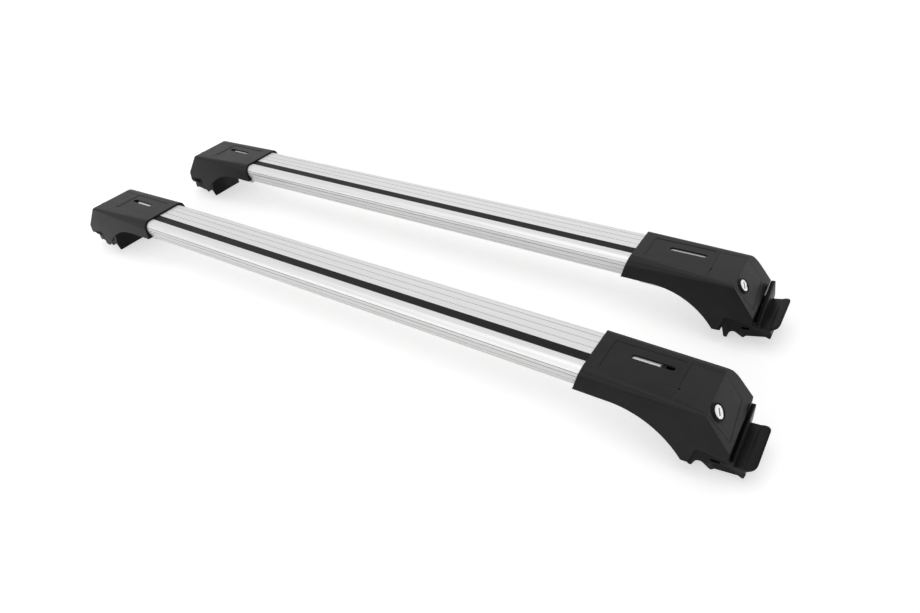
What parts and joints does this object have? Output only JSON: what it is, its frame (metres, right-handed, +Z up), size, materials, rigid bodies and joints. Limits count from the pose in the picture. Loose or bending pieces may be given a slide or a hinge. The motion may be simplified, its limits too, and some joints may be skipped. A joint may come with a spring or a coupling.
{
  "type": "pair of roof crossbars",
  "caption": "Aluminium wing roof crossbars with rubber slot strips, black feet that slide on the bars, lockable covers and toothed rail hooks drawn by a clamp bolt.",
  "frame": {"origin": "middle of the pair's bounding box, on the floor the feet stand on", "axes": "+X along the bars, +Y from the near bar to the far bar, +Z up"},
  "size_m": [1.156, 0.3128, 0.0874],
  "materials": {
    "bar_aluminium": "anodised satin, drawn along its length",
    "strip_rubber": "matt",
    "black_plastic": "fine moulded grain",
    "cover_plastic": "fine moulded grain, slightly smoother",
    "hook_plastic": "moulded satin",
    "pad_rubber": "matt",
    "lock_chrome": "bright",
    "steel": "zinc plated"
  },
  "bodies": {
    "crossbars": {"near_crossbar": "bar_aluminium", "near_slot_strip": "strip_rubber", "far_crossbar": "bar_aluminium", "far_slot_strip": "strip_rubber"},
    "near_right_foot": {"near_right_foot_housing": "black_plastic", "near_right_saddle_pad": "pad_rubber", "near_right_bar_clamp_plate": "steel", "near_right_clamp_screws": "steel", "near_right_slot_nuts": "steel", "near_right_clamp_washer": "steel"},
    "near_right_cover": {"near_right_lock_cover": "cover_plastic"},
    "near_right_lock": {"near_right_lock_cylinder": "lock_chrome", "near_right_lock_cam": "steel"},
    "near_right_nut": {"near_right_clamp_nut": "steel"},
    "near_right_hook": {"near_right_rail_hook": "hook_plastic"},
    "near_right_bolt": {"near_right_clamp_bolt": "steel"},
    "near_left_foot": {"near_left_foot_housing": "black_plastic", "near_left_saddle_pad": "pad_rubber", "near_left_bar_clamp_plate": "steel", "near_left_clamp_screws": "steel", "near_left_slot_nuts": "steel", "near_left_clamp_washer": "steel"},
    "near_left_cover": {"near_left_lock_cover": "cover_plastic"},
    "near_left_lock": {"near_left_lock_cylinder": "lock_chrome", "near_left_lock_cam": "steel"},
    "near_left_nut": {"near_left_clamp_nut": "steel"},
    "near_left_hook": {"near_left_rail_hook": "hook_plastic"},
    "near_left_bolt": {"near_left_clamp_bolt": "steel"},
    "far_right_foot": {"far_right_foot_housing": "black_plastic", "far_right_saddle_pad": "pad_rubber", "far_right_bar_clamp_plate": "steel", "far_right_clamp_screws": "steel", "far_right_slot_nuts": "steel", "far_right_clamp_washer": "steel"},
    "far_right_cover": {"far_right_lock_cover": "cover_plastic"},
    "far_right_lock": {"far_right_lock_cylinder": "lock_chrome", "far_right_lock_cam": "steel"},
    "far_right_nut": {"far_right_clamp_nut": "steel"},
    "far_right_hook": {"far_right_rail_hook": "hook_plastic"},
    "far_right_bolt": {"far_right_clamp_bolt": "steel"},
    "far_left_foot": {"far_left_foot_housing": "black_plastic", "far_left_saddle_pad": "pad_rubber", "far_left_bar_clamp_plate": "steel", "far_left_clamp_screws": "steel", "far_left_slot_nuts": "steel", "far_left_clamp_washer": "steel"},
    "far_left_cover": {"far_left_lock_cover": "cover_plastic"},
    "far_left_lock": {"far_left_lock_cylinder": "lock_chrome", "far_left_lock_cam": "steel"},
    "far_left_nut": {"far_left_clamp_nut": "steel"},
    "far_left_hook": {"far_left_rail_hook": "hook_plastic"},
    "far_left_bolt": {"far_left_clamp_bolt": "steel"}
  },
  "joints": [
    {"name": "near_right_foot_slide", "type": "slide", "parent": "crossbars", "child": "near_right_foot", "axis": [1, 0, 0], "range_m": [-0.04, 0.022]},
    {"name": "near_right_cover_hinge", "type": "hinge", "parent": "near_right_foot", "child": "near_right_cover", "pos_m": [0.4885, -0.11125, 0.0874], "axis": [0, -1, 0], "range_deg": [0, 60]},
    {"name": "near_right_lock_turn", "type": "hinge", "parent": "near_right_cover", "child": "near_right_lock", "pos_m": [0.5305, -0.12825, 0.0778], "axis": [0.7879, 0, 0.6159], "range_deg": [0, 90]},
    {"name": "near_right_nut_slide", "type": "slide", "parent": "near_right_foot", "child": "near_right_nut", "axis": [1, 0, 0], "range_m": [-0.0005, 0.006]},
    {"name": "near_right_hook_tilt", "type": "hinge", "parent": "near_right_nut", "child": "near_right_hook", "pos_m": [0.51, -0.10925, 0.053], "axis": [0, -1, 0], "range_deg": [0, 8]},
    {"name": "near_right_bolt_turn", "type": "hinge", "parent": "near_right_foot", "child": "near_right_bolt", "pos_m": [0.5301, -0.10925, 0.053], "axis": [1, 0, 0], "range_deg": [-146, 1730]},
    {"name": "near_left_foot_slide", "type": "slide", "parent": "crossbars", "child": "near_left_foot", "axis": [-1, 0, 0], "range_m": [-0.034, 0.028]},
    {"name": "near_left_cover_hinge", "type": "hinge", "parent": "near_left_foot", "child": "near_left_cover", "pos_m": [-0.4885, -0.11125, 0.0874], "axis": [0, 1, 0], "range_deg": [0, 60]},
    {"name": "near_left_lock_turn", "type": "hinge", "parent": "near_left_cover", "child": "near_left_lock", "pos_m": [-0.5305, -0.12825, 0.0778], "axis": [-0.7879, 0, 0.6159], "range_deg": [-90, 0]},
    {"name": "near_left_nut_slide", "type": "slide", "parent": "near_left_foot", "child": "near_left_nut", "axis": [-1, 0, 0], "range_m": [-0.0005, 0.006]},
    {"name": "near_left_hook_tilt", "type": "hinge", "parent": "near_left_nut", "child": "near_left_hook", "pos_m": [-0.51, -0.10925, 0.053], "axis": [0, 1, 0], "range_deg": [0, 8]},
    {"name": "near_left_bolt_turn", "type": "hinge", "parent": "near_left_foot", "child": "near_left_bolt", "pos_m": [-0.5301, -0.10925, 0.053], "axis": [1, 0, 0], "range_deg": [-1730, 146]},
    {"name": "far_right_foot_slide", "type": "slide", "parent": "crossbars", "child": "far_right_foot", "axis": [1, 0, 0], "range_m": [-0.002, 0.06]},
    {"name": "far_right_cover_hinge", "type": "hinge", "parent": "far_right_foot", "child": "far_right_cover", "pos_m": [0.4547, 0.10815, 0.0874], "axis": [0, -1, 0], "range_deg": [0, 60]},
    {"name": "far_right_lock_turn", "type": "hinge", "parent": "far_right_cover", "child": "far_right_lock", "pos_m": [0.4967, 0.09115, 0.0778], "axis": [0.7879, 0, 0.6159], "range_deg": [0, 90]},
    {"name": "far_right_nut_slide", "type": "slide", "parent": "far_right_foot", "child": "far_right_nut", "axis": [1, 0, 0], "range_m": [-0.0018, 0.0047]},
    {"name": "far_right_hook_tilt", "type": "hinge", "parent": "far_right_nut", "child": "far_right_hook", "pos_m": [0.4775, 0.11015, 0.053], "axis": [0, -1, 0], "range_deg": [-8, 0]},
    {"name": "far_right_bolt_turn", "type": "hinge", "parent": "far_right_foot", "child": "far_right_bolt", "pos_m": [0.4963, 0.11015, 0.053], "axis": [1, 0, 0], "range_deg": [-521, 1356]},
    {"name": "far_left_foot_slide", "type": "slide", "parent": "crossbars", "child": "far_left_foot", "axis": [-1, 0, 0], "range_m": [-0.034, 0.028]},
    {"name": "far_left_cover_hinge", "type": "hinge", "parent": "far_left_foot", "child": "far_left_cover", "pos_m": [-0.4843, 0.10815, 0.0874], "axis": [0, 1, 0], "range_deg": [0, 60]},
    {"name": "far_left_lock_turn", "type": "hinge", "parent": "far_left_cover", "child": "far_left_lock", "pos_m": [-0.5263, 0.09115, 0.0778], "axis": [-0.7879, 0, 0.6159], "range_deg": [-90, 0]},
    {"name": "far_left_nut_slide", "type": "slide", "parent": "far_left_foot", "child": "far_left_nut", "axis": [-1, 0, 0], "range_m": [-0.0005, 0.006]},
    {"name": "far_left_hook_tilt", "type": "hinge", "parent": "far_left_nut", "child": "far_left_hook", "pos_m": [-0.5058, 0.11015, 0.053], "axis": [0, 1, 0], "range_deg": [0, 8]},
    {"name": "far_left_bolt_turn", "type": "hinge", "parent": "far_left_foot", "child": "far_left_bolt", "pos_m": [-0.5259, 0.11015, 0.053], "axis": [1, 0, 0], "range_deg": [-1730, 146]}
  ],
  "couplings": [
    {"joint": "near_right_bolt_turn", "follows": "near_right_nut_slide", "rad_per_m": 5026.5},
    {"joint": "near_left_bolt_turn", "follows": "near_left_nut_slide", "rad_per_m": -5026.5},
    {"joint": "far_right_bolt_turn", "follows": "far_right_nut_slide", "rad_per_m": 5026.5},
    {"joint": "far_left_bolt_turn", "follows": "far_left_nut_slide", "rad_per_m": -5026.5}
  ]
}
